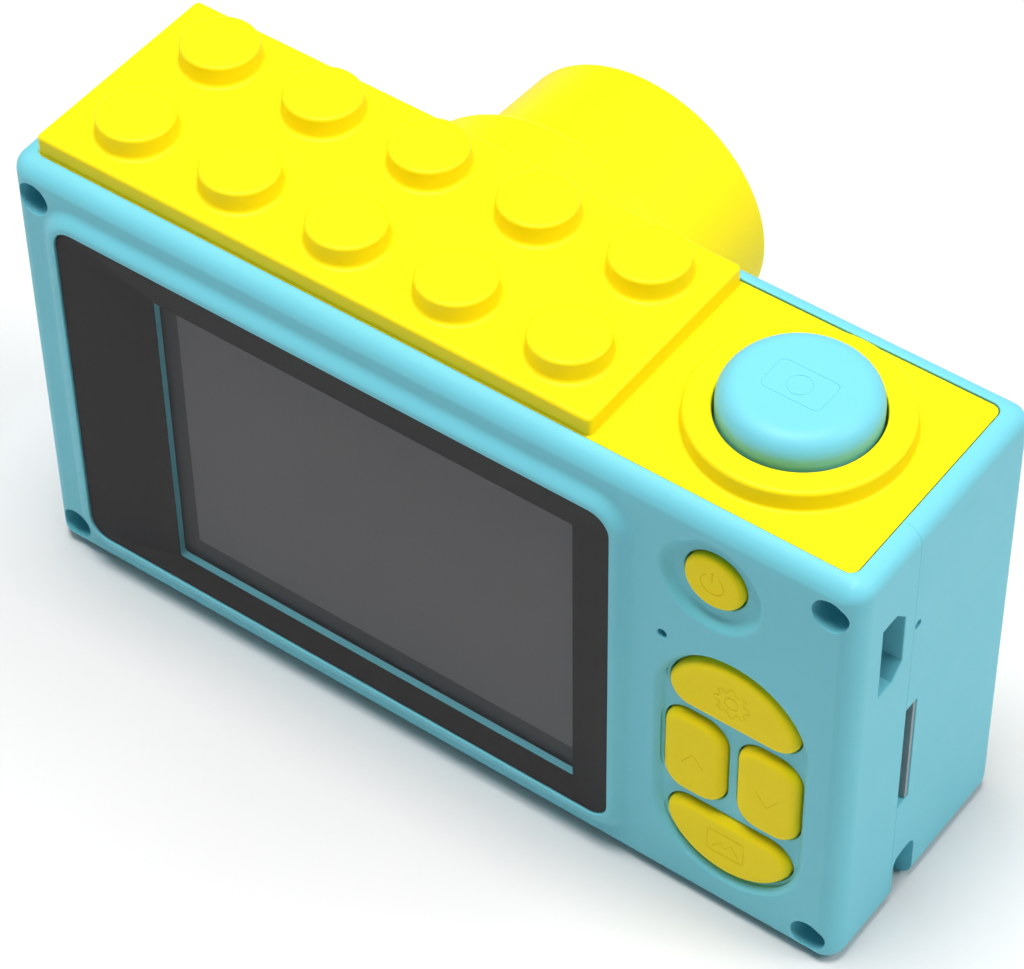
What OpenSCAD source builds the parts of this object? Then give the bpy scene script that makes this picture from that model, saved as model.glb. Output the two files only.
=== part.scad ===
// Toy digital camera: two-piece blue case, yellow studded top cover, stepped
// lens barrel, five keys on the back, a shutter button on top, and the works inside.
// Millimetres. +X is right seen from the screen, +Y runs from the screen to the lens, +Z is up.
// The origin is under the middle of the whole camera, on the surface it stands on.

/* [Case] */
// Width of the case
body_w = 80; // [78:0.5:84]
// Depth of the case without lens and bezel
body_d = 23.8; // [23.8:0.2:28]
// Height of the case up to the top rim
body_h = 44.3; // [44.3:0.1:46]
// Radius of the outer edges
edge_r = 1.6; // [0.8:0.1:1.7]
// Wall thickness
wall = 1.8; // [1.6:0.1:1.8]
// Depth of the rear shell, up to the parting line
rear_d = 8.2; // [8.2:0.1:8.3]
// Height of the bezel over the back face
bezel_h = 0.8; // [0.4:0.1:1.2]

/* [Top cover] */
// Height of the studded block over the deck
brick_h = 1.82; // [1.5:0.02:2.4]
// Height of a stud
stud_h = 1.9; // [1.4:0.1:2.2]
// Radius of a stud
stud_r = 3.3; // [2.8:0.1:3.8]
// Distance between studs
stud_pitch = 10.42; // [9.5:0.02:10.6]

/* [Lens] */
// Height of the lens axis
lens_z = 22.15; // [21.5:0.05:23]
// Radius of the wide base ring
lens_base_r = 15.75; // [15:0.05:17]
// Length of the wide base ring
lens_base_l = 9.9; // [8:0.1:12]
// Radius of the barrel at its front
lens_front_r = 12.8; // [12:0.1:13.2]
// Length of base ring and barrel together
lens_l = 21.9; // [20:0.1:24]

/* [Buttons] */
// Height of the shutter button's top face
shutter_top = 48.3; // [47.5:0.1:49]

/* [Hidden] */
$fn = 64;

cut = 0.1;                               // how far a cutting shape runs past a face
back_y = -(bezel_h + body_d + lens_l) / 2 + bezel_h;   // back face in the part's own frame
inner_w = body_w - 2 * wall;
rim = 1.7;                               // width of the rim around the top cover
deck_floor = body_h - 1.25;              // seat of the top cover
deck_top = body_h - 0.12;
ceiling = deck_floor - 1.55;             // underside of the case's own top wall
bore_fit = 0.06;                         // running gap of a moving pin

// Glass of the display and the clear part of it, as [left, right, bottom, top]
glass = [-35.0, 18.8, 4.1, 39.8];
clear_area = [-25.9, 14.9, 6.0, 36.05];
glass_r = 1.9;
glass_t = 1.0;
glass_seat = 0.3;                        // depth of the ledge that the glass lies on
pocket_y = 1.0;                          // the wall is thinner behind the glass, up to this depth
bezel_w = 0.4;                           // flat crest of the bezel
bezel_slope = 1.4;                       // width of the slope down to the back face

// Layers behind the glass, each starting where the one before ends
gasket_t = 0.2;
panel_t = 1.2;
backlight_t = 1.6;
panel_y = pocket_y + gasket_t;
backlight_y = panel_y + panel_t;
lcd = [-28.5, 18.0, 4.4, 40.2];
board_y = 6.6;
board_t = 1.0;
board_front = board_y + board_t;

// Screws of the case
screw_x = 37.5;
screw_low = 2.75;
screw_high = 40.9;
screw_r = 0.85;
head_r = 1.45;
head_t = 1.2;
counterbore_r = 1.6;
counterbore_d = 5.0;
boss_r = 3.2;
screw_end = 15;

// Posts of the main board
post_r = 1.4;
post_at = [[-32, 8], [-32, 36], [20.2, 8], [20.2, 36]];

// Shutter
shutter_x = 26.8;
shutter_y = 12.1;
collar_r = 8.85;
collar_top = body_h + 1.6;
shutter_hole_r = 6.5;
shutter_r = 6.3;
shutter_board_z = 34.6;
shutter_switch_z = shutter_board_z + 1;
shutter_switch_t = 1.8;
shutter_stem_end = shutter_switch_z + shutter_switch_t + 1.2;

// Cluster of four keys: a stadium with its lower and upper arc centre
cluster_x = 29.6;
recess_r = 7.15;
recess_low = 10.8;
recess_high = 22.95;
recess_d = 0.7;
keys_r = 6.2;
keys_low = recess_low;
keys_high = recess_high;
key_gap = 1.1;
key_corner = 2.1;
hole_gap = 0.15;                         // gap between a key and its hole
key_face = 0.05;                         // depth of a key's face under the back face
flange_t = 0.8;
flange_grow = 0.9;
flange_y = wall + 0.05;
// Cell of each key inside the stadium, as [left, right, bottom, top]
mid_low = 11.6;
mid_high = 21.9;
far = 12;
settings_cell = [cluster_x - far, cluster_x + far, mid_high, keys_high + far];
gallery_cell = [cluster_x - far, cluster_x + far, keys_low - far, mid_low];
left_cell = [cluster_x - far, cluster_x, mid_low, mid_high];
right_cell = [cluster_x, cluster_x + far, mid_low, mid_high];

// Power key in its dish
power_at = [27.3, 37.4];
power_r = 2.65;
dish_r = 4.7;
dish_d = 0.8;

microphone_at = [23.2, 29.45];

// Switches under the keys, as [x, z]
switch_w = 3.2;
switch_t = 1.4;
plunger_r = 0.8;
plunger_out = 0.6;
settings_at = [cluster_x, 25.6];
left_at = [26.3, 16.4];
right_at = [33.1, 16.4];
gallery_at = [cluster_x, 8.2];

// Lens
lens_x = -10.3;
lens_end = body_d + lens_l;
lens_step = body_d + lens_base_l;
lens_at = [lens_x, lens_z];
lens_bore = 10.6;
window_y = lens_end - 4;
window_t = 1.2;
spigot_r = 11.4;
spigot_bore = 10;
holder_y = 21;                           // front of the sensor board
holder_end = 31;
sensor_posts = [[lens_x - 14, lens_z], [lens_x + 14, lens_z]];
ribbon_z = [lens_z + 2, lens_z + 5.5];

// Sockets on the right side
usb_y = 5.15;
usb_z = 33.75;
reset_y = 8.7;
card_z = 18.15;
slot_w = 11.9;
slot_y = rear_d;
slot_t = 1.6;
strap_slot = [rear_d + 0.3, rear_d + 3.3];
strap_h = 5.4;

battery_size = [36, 4.5, 24];
speaker_r = 9;
speaker_at = [26.8, 20];

// ---------- shapes ----------

// Rounded rectangle from [left, right, bottom, top]; squares and circles, so arcs stay true
module rounded_area(area, r) {
    w = area[1] - area[0];
    h = area[3] - area[2];
    translate([area[0] + r, area[2]]) square([w - 2 * r, h]);
    translate([area[0], area[2] + r]) square([w, h - 2 * r]);
    for (x = [area[0] + r, area[1] - r], y = [area[2] + r, area[3] - r])
        translate([x, y]) circle(r);
}

// Extrudes an outline drawn as seen from the front or back, from depth y0 to y1
module slab(y0, y1) {
    translate([0, y1, 0]) rotate([90, 0, 0]) linear_extrude(y1 - y0) children();
}

// Round bar along Y at [x, z]
module rod(at, r, y0, y1) {
    translate([at[0], y1, at[1]]) rotate([90, 0, 0]) cylinder(h = y1 - y0, r = r);
}

// Round bar along Y that changes its radius from r0 to r1
module cone(at, r0, r1, y0, y1) {
    translate([at[0], y0, at[1]]) rotate([-90, 0, 0]) cylinder(h = y1 - y0, r1 = r0, r2 = r1);
}

// Box from its two corners
module box(low, high) {
    translate(low) cube(high - low);
}

module in_frame() {
    translate([0, back_y, 0]) children();
}

function grown(area, by) = [area[0] - by, area[1] + by, area[2] - by, area[3] + by];

// ---------- case ----------

module case_outline() {
    rounded_area([-body_w / 2, body_w / 2, 0, body_h], edge_r);
}

// Long bar with the case's profile as seen from the side, starting at depth y0
module side_profile(y0) {
    rotate([90, 0, 90]) linear_extrude(body_w, center = true) rounded_area([y0, body_d, 0, body_h], edge_r);
}

// Outer body with all its edges rounded
module case_block(y0, y1) {
    intersection() {
        slab(y0, y1) case_outline();
        side_profile(0);
        linear_extrude(body_h) rounded_area([-body_w / 2, body_w / 2, 0, body_d], edge_r);
    }
}

module deck_recess() {
    box([-body_w / 2 + rim, rim, deck_floor], [body_w / 2 - rim, body_d - rim, body_h + cut]);
}

module interior(y0, y1) {
    box([-inner_w / 2, y0, wall], [inner_w / 2, y1, ceiling]);
}

// Corner bosses, cut off where they would leave the case
module bosses(y0, y1) {
    intersection() {
        union() {
            for (x = [-screw_x, screw_x], z = [screw_low, screw_high])
                rod([x, z], boss_r, y0, y1);
        }
        box([-body_w / 2 + 1, y0, 1], [body_w / 2 - 1, y1, deck_floor - 0.2]);
    }
}

module screw_holes(r, y0, y1) {
    for (x = [-screw_x, screw_x], z = [screw_low, screw_high])
        rod([x, z], r, y0, y1);
}

module shutter_passage() {
    translate([shutter_x, shutter_y, ceiling - cut])
        cylinder(h = deck_floor - ceiling + 2 * cut, r = shutter_hole_r);
}

// Bezel: a plateau round the glass with sloping sides, which runs out over the case's lower edge
module bezel() {
    crest_r = glass_r + bezel_w;
    foot_r = crest_r + bezel_slope;
    middle = grown(glass, -glass_r);
    slope = [
        [-crest_r, -bezel_h], [crest_r, -bezel_h], [foot_r, 0],
        [foot_r, edge_r], [-foot_r, edge_r], [-foot_r, 0]
    ];
    intersection() {
        slab(-bezel_h, edge_r) case_outline();
        side_profile(-bezel_h);
        union() {
            slab(-bezel_h, edge_r) rounded_area(grown(middle, crest_r), crest_r);
            slab(0, edge_r) rounded_area(grown(middle, foot_r), foot_r);
            for (x = [middle[0], middle[1]], z = [middle[2], middle[3]])
                cone([x, z], crest_r, foot_r, -bezel_h, 0);
            for (x = [middle[0], middle[1]])
                translate([x, 0, middle[2]]) linear_extrude(middle[3] - middle[2]) polygon(slope);
            for (z = [middle[2], middle[3]])
                translate([middle[0], 0, z]) rotate([90, 0, 90]) linear_extrude(middle[1] - middle[0])
                    polygon([for (p = slope) [p[1], p[0]]]);
        }
    }
}

// Funnel-walled recess around the four keys
module key_recess() {
    floor_r = recess_r - recess_d;
    for (z = [recess_low, recess_high])
        cone([cluster_x, z], recess_r + cut, floor_r, -cut, recess_d);
    translate([cluster_x, 0, recess_low]) linear_extrude(recess_high - recess_low)
        polygon([
            [-recess_r - cut, -cut], [recess_r + cut, -cut], [floor_r, recess_d], [-floor_r, recess_d]
        ]);
}

module rear_cover() {
    color("skyblue") in_frame() difference() {
        union() {
            difference() {
                union() {
                    case_block(0, rear_d);
                    bezel();
                }
                interior(wall, rear_d + cut);
                slab(pocket_y, wall + cut) rounded_area(grown(lcd, 0.3), 0.4);
            }
            bosses(wall - cut, rear_d);
            for (at = post_at) rod(at, post_r, wall - cut, board_y);
        }
        deck_recess();
        shutter_passage();
        slab(-bezel_h - cut, glass_seat) rounded_area(glass, glass_r);
        slab(0, wall + cut) rounded_area(clear_area, 0.4);
        key_recess();
        slab(0, wall + cut) offset(delta = hole_gap) all_keys();
        cone(power_at, dish_r + cut, dish_r - dish_d, -cut, dish_d);
        rod(power_at, power_r + hole_gap, 0, wall + cut);
        rod(microphone_at, 0.5, -cut, wall + cut);
        screw_holes(counterbore_r, -cut, counterbore_d);
        screw_holes(screw_r + 0.15, 0, rear_d + cut);
        for (at = post_at) rod(at, 0.65, wall + 1, board_y + cut);
        usb_opening();
    }
}

// Chamfered opening for the charging plug
module usb_opening() {
    half_w = 3.75;
    half_t = 1.65;
    chamfer = 1.3;
    translate([inner_w / 2 - cut, usb_y, usb_z]) rotate([90, 0, 90]) linear_extrude(wall + 2 * cut)
        polygon([
            [-half_t, -half_w], [half_t - chamfer, -half_w], [half_t, -half_w + chamfer],
            [half_t, half_w - chamfer], [half_t - chamfer, half_w], [-half_t, half_w]
        ]);
}

// Slot for a wrist cord, which passes around the screw boss that crosses it
module strap_passage() {
    difference() {
        box([body_w / 2 - strap_h, strap_slot[0], -cut], [body_w / 2 + cut, strap_slot[1], strap_h]);
        rod([screw_x, screw_low], 1.5, strap_slot[0] - cut, strap_slot[1] + cut);
    }
}

module speaker_grille() {
    rod(speaker_at, 0.6, body_d - wall - cut, body_d + cut);
    for (ring = [1, 2], step = [0 : 6 * ring - 1]) {
        turn = step * 60 / ring;
        rod(speaker_at + 2.2 * ring * [cos(turn), sin(turn)], 0.6, body_d - wall - cut, body_d + cut);
    }
}

module front_cover() {
    color("skyblue") in_frame() difference() {
        union() {
            difference() {
                case_block(rear_d, body_d);
                interior(rear_d - cut, body_d - wall);
            }
            bosses(rear_d, body_d - wall + cut);
            box([body_w / 2 - strap_h - wall, rear_d, 1],
                [body_w / 2 - 1, strap_slot[1] + wall, strap_h + wall]);
            for (at = sensor_posts) rod(at, 2, holder_y, body_d - wall + cut);
            for (x = [shutter_x - 6.3, shutter_x + 4.8])
                box([x, 14.6, shutter_board_z - 1.6], [x + 1.5, body_d - wall + cut, shutter_board_z]);
        }
        deck_recess();
        shutter_passage();
        strap_passage();
        screw_holes(screw_r + bore_fit, rear_d - cut, screw_end + 1);
        rod(lens_at, spigot_r + 0.1, holder_y - cut, body_d + cut);
        for (at = sensor_posts) rod(at, 0.7, holder_y - cut, body_d - 0.3);
        box([inner_w / 2 - cut, slot_y - cut, card_z - slot_w / 2],
            [body_w / 2 + cut, slot_y + slot_t, card_z + slot_w / 2]);
        translate([inner_w / 2 - cut, reset_y, usb_z]) rotate([0, 90, 0])
            cylinder(h = wall + 2 * cut, r = 0.35);
        speaker_grille();
    }
}

module case_screws() {
    color("silver") in_frame() for (x = [-screw_x, screw_x], z = [screw_low, screw_high]) {
        difference() {
            rod([x, z], head_r, counterbore_d - head_t, counterbore_d);
            for (turn = [0, 90])
                translate([x, counterbore_d - head_t, z]) rotate([0, turn, 0])
                    cube([1.8, 1.2, 0.35], center = true);
        }
        rod([x, z], screw_r, counterbore_d - cut, screw_end);
    }
}

// ---------- top cover ----------

module stud(x, y) {
    top = deck_top + brick_h + stud_h;
    translate([x, y, deck_top + brick_h - cut]) cylinder(h = stud_h - 0.3 + cut, r = stud_r);
    translate([x, y, top - 0.3]) cylinder(h = 0.3, r1 = stud_r, r2 = stud_r - 0.3);
}

module top_cover() {
    side = rim + 0.1;
    deck = [-body_w / 2 + side, body_w / 2 - side, side, body_d - side];
    brick = [deck[0] + 0.05, 15.15, deck[2] + 0.05, deck[3] - 0.05];
    soft = 0.5;
    color("yellow") in_frame() difference() {
        union() {
            translate([0, 0, deck_floor]) linear_extrude(deck_top - deck_floor)
                rounded_area(deck, 0.8);
            translate([0, 0, deck_top - cut]) linear_extrude(brick_h + cut) rounded_area(brick, 0.4);
            for (column = [0 : 4], row = [0 : 1])
                stud(-31.9 + column * stud_pitch, 6.9 + row * stud_pitch);
            translate([shutter_x, shutter_y, deck_top - cut])
                cylinder(h = collar_top - soft - deck_top + cut, r = collar_r);
            translate([shutter_x, shutter_y, collar_top - soft])
                cylinder(h = soft, r1 = collar_r, r2 = collar_r - soft);
        }
        translate([shutter_x, shutter_y, deck_floor - cut])
            cylinder(h = collar_top - deck_floor + 2 * cut, r = shutter_hole_r);
    }
}

// ---------- display ----------

module display_window() {
    color("dimgray") in_frame() slab(glass_seat - glass_t, glass_seat)
        rounded_area(grown(glass, -0.1), glass_r - 0.1);
}

module lcd_gasket() {
    color("black") in_frame() slab(pocket_y, panel_y) difference() {
        rounded_area(grown(clear_area, 1.6), 0.5);
        rounded_area(grown(clear_area, 0.3), 0.4);
    }
}

module lcd_panel() {
    color("darkslategray") in_frame() slab(panel_y, backlight_y) rounded_area(lcd, 0.4);
}

module lcd_backlight() {
    color("whitesmoke") in_frame() slab(backlight_y, backlight_y + backlight_t)
        rounded_area(grown(lcd, -0.2), 0.4);
}

// Flat flex that leaves the panel's lower edge and folds back to the main board
module lcd_ribbon() {
    t = 0.2;
    low = lcd[2] - 0.8;
    start = wall + 0.15;
    back = backlight_y + backlight_t + 0.3;
    color("orange") in_frame() {
        box([-13, start, low], [1, start + t, lcd[2]]);
        box([-13, start, low], [1, back + t, low + t]);
        box([-13, back, low], [1, back + t, 10]);
        box([-12, back + t, 8.5], [0, board_y, 10]);
    }
}

// ---------- lens ----------

// Turns a profile, drawn as [radius, depth], around the lens axis
module around_lens() {
    translate([lens_x, 0, lens_z]) rotate([-90, 0, 0]) rotate_extrude() children();
}

module lens_barrel() {
    edge = 0.5;
    color("yellow") in_frame() around_lens() polygon([
        [spigot_bore, body_d - wall], [spigot_r, body_d - wall], [spigot_r, body_d],
        [lens_base_r, body_d], [lens_base_r, lens_step - edge], [lens_base_r - edge, lens_step],
        [lens_front_r + edge, lens_step], [lens_front_r, lens_end - edge], [lens_front_r - edge, lens_end],
        [lens_bore + 0.3, lens_end], [lens_bore, lens_end - 0.3], [lens_bore, window_y - window_t],
        [spigot_bore, window_y - window_t]
    ]);
}

module lens_trim() {
    color("black") in_frame() difference() {
        rod(lens_at, lens_bore - 0.05, window_y, window_y + 1.2);
        cone(lens_at, 7.4, 8.6, window_y - cut, window_y + 1.2 + cut);
    }
}

module lens_window() {
    color("lightsteelblue") in_frame() rod(lens_at, lens_bore - 0.05, window_y - window_t, window_y);
}

// Black funnel between the window and the small lens
module lens_baffle() {
    back = window_y - window_t;
    color("dimgray") in_frame() around_lens() polygon([
        [3.2, holder_end], [4.2, holder_end], [9.9, back - 0.8], [9.9, back],
        [8.6, back], [3.2, holder_end + 0.6]
    ]);
}

module lens_holder() {
    base = 5;
    pocket = 3.4;
    color("black") in_frame() difference() {
        union() {
            box([lens_x - base, holder_y, lens_z - base], [lens_x + base, holder_y + 3.5, lens_z + base]);
            rod(lens_at, 3.9, holder_y + 3.4, holder_end);
        }
        box([lens_x - pocket, holder_y - cut, lens_z - pocket],
            [lens_x + pocket, holder_y + 2, lens_z + pocket]);
        rod(lens_at, 2.4, holder_y + 1.9, holder_end + cut);
    }
}

// Small lens with a domed front
module lens_element() {
    dome = 5.3;
    t = 2.4;
    color("lightblue") in_frame() translate([lens_x, holder_end - 3, lens_z]) rotate([-90, 0, 0])
        intersection() {
            cylinder(h = t, r = 2.35);
            translate([0, 0, t - dome]) sphere(r = dome);
        }
}

module image_sensor() {
    half = 3;
    color("slategray") in_frame()
        box([lens_x - half, holder_y, lens_z - half], [lens_x + half, holder_y + 1, lens_z + half]);
}

module sensor_board() {
    half_w = 16.5;
    half_h = 6;
    color("seagreen") in_frame() difference() {
        box([lens_x - half_w, holder_y - 1, lens_z - half_h], [lens_x + half_w, holder_y, lens_z + half_h]);
        for (at = sensor_posts) rod(at, 0.8, holder_y - 1 - cut, holder_y + cut);
    }
}

module sensor_screws() {
    color("silver") in_frame() for (at = sensor_posts) {
        rod(at, 1.3, holder_y - 2, holder_y - 1);
        rod(at, 0.64, holder_y - 1 - cut, holder_y + 2.2);
    }
}

// Flat flex from the sensor board, around the side of the battery, to the main board
module sensor_ribbon() {
    t = 0.2;
    left = -29;
    far_y = holder_y - 1.7;
    near_y = board_front + 0.5;
    color("orange") in_frame() {
        box([left, far_y, ribbon_z[0]], [-20.5, far_y + t, ribbon_z[1]]);
        box([left, near_y, ribbon_z[0]], [left + t, far_y + t, ribbon_z[1]]);
        box([left, near_y, ribbon_z[0]], [-28, near_y + t, ribbon_z[1]]);
    }
}

module ribbon_connectors() {
    color("ivory") in_frame() {
        box([-20.5, holder_y - 2.2, ribbon_z[0]], [-15, holder_y - 1, ribbon_z[1]]);
        box([-28, board_front, ribbon_z[0]], [-22.5, board_front + 1.2, ribbon_z[1]]);
    }
}

// ---------- keys ----------

module cell_area(cell, inset) {
    translate([cell[0] + inset, cell[2] + inset])
        square([cell[1] - cell[0] - 2 * inset, cell[3] - cell[2] - 2 * inset]);
}

module keys_stadium() {
    for (z = [keys_low, keys_high]) translate([cluster_x, z]) circle(keys_r, $fn = 96);
    translate([cluster_x - keys_r, keys_low]) square([2 * keys_r, keys_high - keys_low]);
}

// Outline of one key: its cell of the stadium with softened corners
module key_outline(cell) {
    offset(r = key_corner, $fn = 32) offset(delta = -key_corner) intersection() {
        keys_stadium();
        cell_area(cell, key_gap / 2);
    }
}

module all_keys() {
    for (cell = [settings_cell, gallery_cell, left_cell, right_cell]) key_outline(cell);
}

// A key of the cluster: cap, retaining flange behind the wall, and a stem down to the switch
module cluster_key(cell, at) {
    color("gold") in_frame() {
        slab(key_face, flange_y + cut) key_outline(cell);
        slab(flange_y, flange_y + flange_t) intersection() {
            offset(r = flange_grow, $fn = 32) key_outline(cell);
            cell_area(cell, hole_gap);
        }
        rod(at, 1.1, flange_y + flange_t - cut, board_y - switch_t - plunger_out);
    }
}

module power_button() {
    color("gold") in_frame() {
        rod(power_at, power_r, dish_d - 0.5, flange_y + cut);
        rod(power_at, power_r + 0.7, flange_y, flange_y + flange_t);
        rod(power_at, 1.1, flange_y + flange_t - cut, board_y - switch_t - plunger_out);
    }
}

module settings_button() { cluster_key(settings_cell, settings_at); }
module left_button() { cluster_key(left_cell, left_at); }
module right_button() { cluster_key(right_cell, right_at); }
module gallery_button() { cluster_key(gallery_cell, gallery_at); }

// Small round plunger that stands out of a switch
module plunger(at) {
    face = board_y - switch_t;
    color("black") in_frame() rod(at, plunger_r, face - plunger_out, face + 0.5);
}

module power_plunger() { plunger(power_at); }
module settings_plunger() { plunger(settings_at); }
module left_plunger() { plunger(left_at); }
module right_plunger() { plunger(right_at); }
module gallery_plunger() { plunger(gallery_at); }

module key_switches() {
    color("silver") in_frame() for (at = [power_at, settings_at, left_at, right_at, gallery_at])
        difference() {
            translate([at[0] - switch_w / 2, board_y - switch_t, at[1] - switch_w / 2])
                cube([switch_w, switch_t, switch_w]);
            rod(at, plunger_r + bore_fit, board_y - switch_t - cut, board_y - 0.2);
        }
}

// ---------- shutter ----------

// Cup-shaped cap with two retaining lugs and a central stem
module shutter_button() {
    roll = 1.8;
    skirt = ceiling - 0.5;
    color("skyblue") in_frame() translate([shutter_x, shutter_y, 0]) {
        rotate_extrude() difference() {
            union() {
                translate([0, skirt]) square([shutter_r, shutter_top - roll - skirt]);
                translate([0, skirt]) square([shutter_r - roll, shutter_top - skirt]);
                intersection() {
                    translate([shutter_r - roll, shutter_top - roll]) circle(roll);
                    translate([0, shutter_top - 2 * roll]) square([shutter_r, 2 * roll]);
                }
            }
            translate([1.5, skirt - cut]) square([shutter_r - 2.7, shutter_top - 1.8 - skirt]);
            translate([-cut, skirt - cut]) square([1.7, 0.3]);
        }
        translate([0, 0, shutter_stem_end]) cylinder(h = skirt - shutter_stem_end + 1, r = 1.5);
        for (side = [-1, 1])
            translate([side * (shutter_r + 0.3) - 0.6, -2, skirt]) cube([1.2, 4, 0.4]);
    }
}

module shutter_plunger() {
    bottom = shutter_switch_z + shutter_switch_t - 0.5;
    color("black") in_frame() translate([shutter_x, shutter_y, bottom])
        cylinder(h = shutter_stem_end - bottom, r = 1.1);
}

module shutter_switch() {
    top = shutter_switch_z + shutter_switch_t;
    color("silver") in_frame() difference() {
        box([shutter_x - 3, shutter_y - 3, shutter_switch_z], [shutter_x + 3, shutter_y + 3, top]);
        translate([shutter_x, shutter_y, shutter_switch_z + 0.1])
            cylinder(h = shutter_switch_t, r = 1.1 + bore_fit);
    }
}

module shutter_board() {
    color("seagreen") in_frame()
        box([shutter_x - 6.4, 8.4, shutter_board_z], [shutter_x + 6.4, 16.8, shutter_board_z + 1]);
}

// ---------- electronics ----------

module main_board() {
    color("seagreen") in_frame() difference() {
        union() {
            slab(board_y, board_front) rounded_area([-34.5, 37.2, 6.5, 37.2], 1);
            slab(board_y, board_front) rounded_area([22, 33, 30, 39.5], 1);
        }
        for (at = post_at) rod(at, 0.8, board_y - cut, board_front + cut);
    }
}

module board_screws() {
    color("silver") in_frame() for (at = post_at) {
        rod(at, 1.3, board_front, board_front + 0.8);
        rod(at, 0.59, wall + 1.5, board_front + cut);
    }
}

module board_chips() {
    color("black") in_frame() {
        box([-8, board_front, 16], [1, board_front + 1, 25]);
        box([5, board_front, 18], [11, board_front + 0.9, 23]);
        box([-20, board_front, 29], [-15, board_front + 0.9, 33]);
    }
}

module battery() {
    color("lightgray") in_frame() translate([-15, 9.2, wall]) cube(battery_size);
}

module speaker() {
    color("dimgray") in_frame() {
        rod(speaker_at, speaker_r, body_d - wall - 1.6, body_d - wall);
        rod(speaker_at, speaker_r - 2.5, body_d - wall - 4.2, body_d - wall - 1.5);
    }
}

module microphone() {
    color("silver") in_frame() rod(microphone_at, 1.8, board_y - 1.6, board_y);
}

module usb_socket() {
    shell = [usb_y - 1.4, usb_y + 1.4, usb_z - 3.6, usb_z + 3.6];
    t = 0.3;
    color("silver") in_frame() difference() {
        box([33, shell[0], shell[2]], [inner_w / 2 - 0.05, board_y, shell[3]]);
        box([33.5, shell[0] + t, shell[2] + t], [inner_w / 2 + cut, shell[1] - t, shell[3] - t]);
    }
}

module usb_tongue() {
    color("black") in_frame()
        box([33.5, usb_y - 0.4, usb_z - 2.2], [inner_w / 2 - 0.2, usb_y + 0.3, usb_z + 2.2]);
}

// Socket with a thin lip that lines the far side of the slot in the case
module card_socket() {
    half = 7;
    mouth = 5.7;
    front = board_front + 1.9;
    lip_end = body_w / 2 - 0.1;
    lip_half = slot_w / 2 - 0.05;
    color("silver") in_frame() {
        difference() {
            box([23.4, board_front, card_z - half], [inner_w / 2 - 0.2, front, card_z + half]);
            box([24, slot_y, card_z - mouth], [inner_w / 2, slot_y + 0.9, card_z + mouth]);
        }
        box([inner_w / 2 - 1, front - cut, card_z - lip_half],
            [lip_end, slot_y + slot_t - 0.05, card_z + lip_half]);
    }
}

module reset_switch() {
    color("silver") in_frame() {
        box([33.6, board_front, usb_z - 1.8], [36.6, board_front + 2, usb_z + 1.8]);
        translate([36.5, reset_y, usb_z]) rotate([0, 90, 0]) cylinder(h = 0.9, r = 0.5);
    }
}

rear_cover();
front_cover();
top_cover();
case_screws();
display_window();
lcd_gasket();
lcd_panel();
lcd_backlight();
lcd_ribbon();
lens_barrel();
lens_trim();
lens_window();
lens_baffle();
lens_holder();
lens_element();
image_sensor();
sensor_board();
sensor_screws();
sensor_ribbon();
ribbon_connectors();
shutter_button();
shutter_plunger();
shutter_switch();
shutter_board();
power_button();
settings_button();
left_button();
right_button();
gallery_button();
power_plunger();
settings_plunger();
left_plunger();
right_plunger();
gallery_plunger();
key_switches();
main_board();
board_screws();
board_chips();
battery();
speaker();
microphone();
usb_socket();
usb_tongue();
card_socket();
reset_switch();
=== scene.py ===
"""Toy digital camera: the finished surfaces of every piece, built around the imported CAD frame.

Mesh builders work in millimetres: x across, y as depth behind the back face, z up.
new_piece() moves the result into the frame and turns it into metres.
"""
import math

import bmesh
import bpy
from mathutils import Matrix, Vector, geometry


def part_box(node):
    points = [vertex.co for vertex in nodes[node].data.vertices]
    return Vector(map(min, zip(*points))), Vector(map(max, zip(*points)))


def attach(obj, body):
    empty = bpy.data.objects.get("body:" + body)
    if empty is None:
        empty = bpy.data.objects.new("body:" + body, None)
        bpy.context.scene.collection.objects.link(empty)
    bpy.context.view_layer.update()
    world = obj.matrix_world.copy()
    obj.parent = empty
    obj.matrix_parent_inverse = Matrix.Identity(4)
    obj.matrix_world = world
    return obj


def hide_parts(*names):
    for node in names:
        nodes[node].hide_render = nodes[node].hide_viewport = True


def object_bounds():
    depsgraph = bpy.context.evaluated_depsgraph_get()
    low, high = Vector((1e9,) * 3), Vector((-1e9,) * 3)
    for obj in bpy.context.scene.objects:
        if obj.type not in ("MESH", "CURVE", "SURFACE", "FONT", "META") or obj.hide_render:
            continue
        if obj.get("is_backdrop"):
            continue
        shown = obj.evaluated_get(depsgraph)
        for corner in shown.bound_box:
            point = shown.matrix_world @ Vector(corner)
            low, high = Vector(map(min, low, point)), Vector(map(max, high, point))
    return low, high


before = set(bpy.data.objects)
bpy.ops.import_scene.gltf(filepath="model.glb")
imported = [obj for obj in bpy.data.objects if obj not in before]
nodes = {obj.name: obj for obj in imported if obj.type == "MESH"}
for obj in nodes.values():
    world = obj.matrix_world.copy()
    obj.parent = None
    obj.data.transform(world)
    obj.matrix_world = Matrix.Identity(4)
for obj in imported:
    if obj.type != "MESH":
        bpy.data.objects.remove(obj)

MM = 0.001
BEZEL_H = 0.8
cad_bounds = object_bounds()

# The back face of the case lies one bezel height behind the rear cover's lowest y.
BACK_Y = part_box("rear_cover")[0].y / MM + BEZEL_H


# ---------- places, read from the frame ----------

def corner(node, high):
    """Low or high corner of a node, in millimetres, with y as depth behind the back face."""
    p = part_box(node)[1 if high else 0] / MM
    return Vector((p.x, p.y - BACK_Y, p.z))


def middle(node):
    return (corner(node, False) + corner(node, True)) / 2


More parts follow.
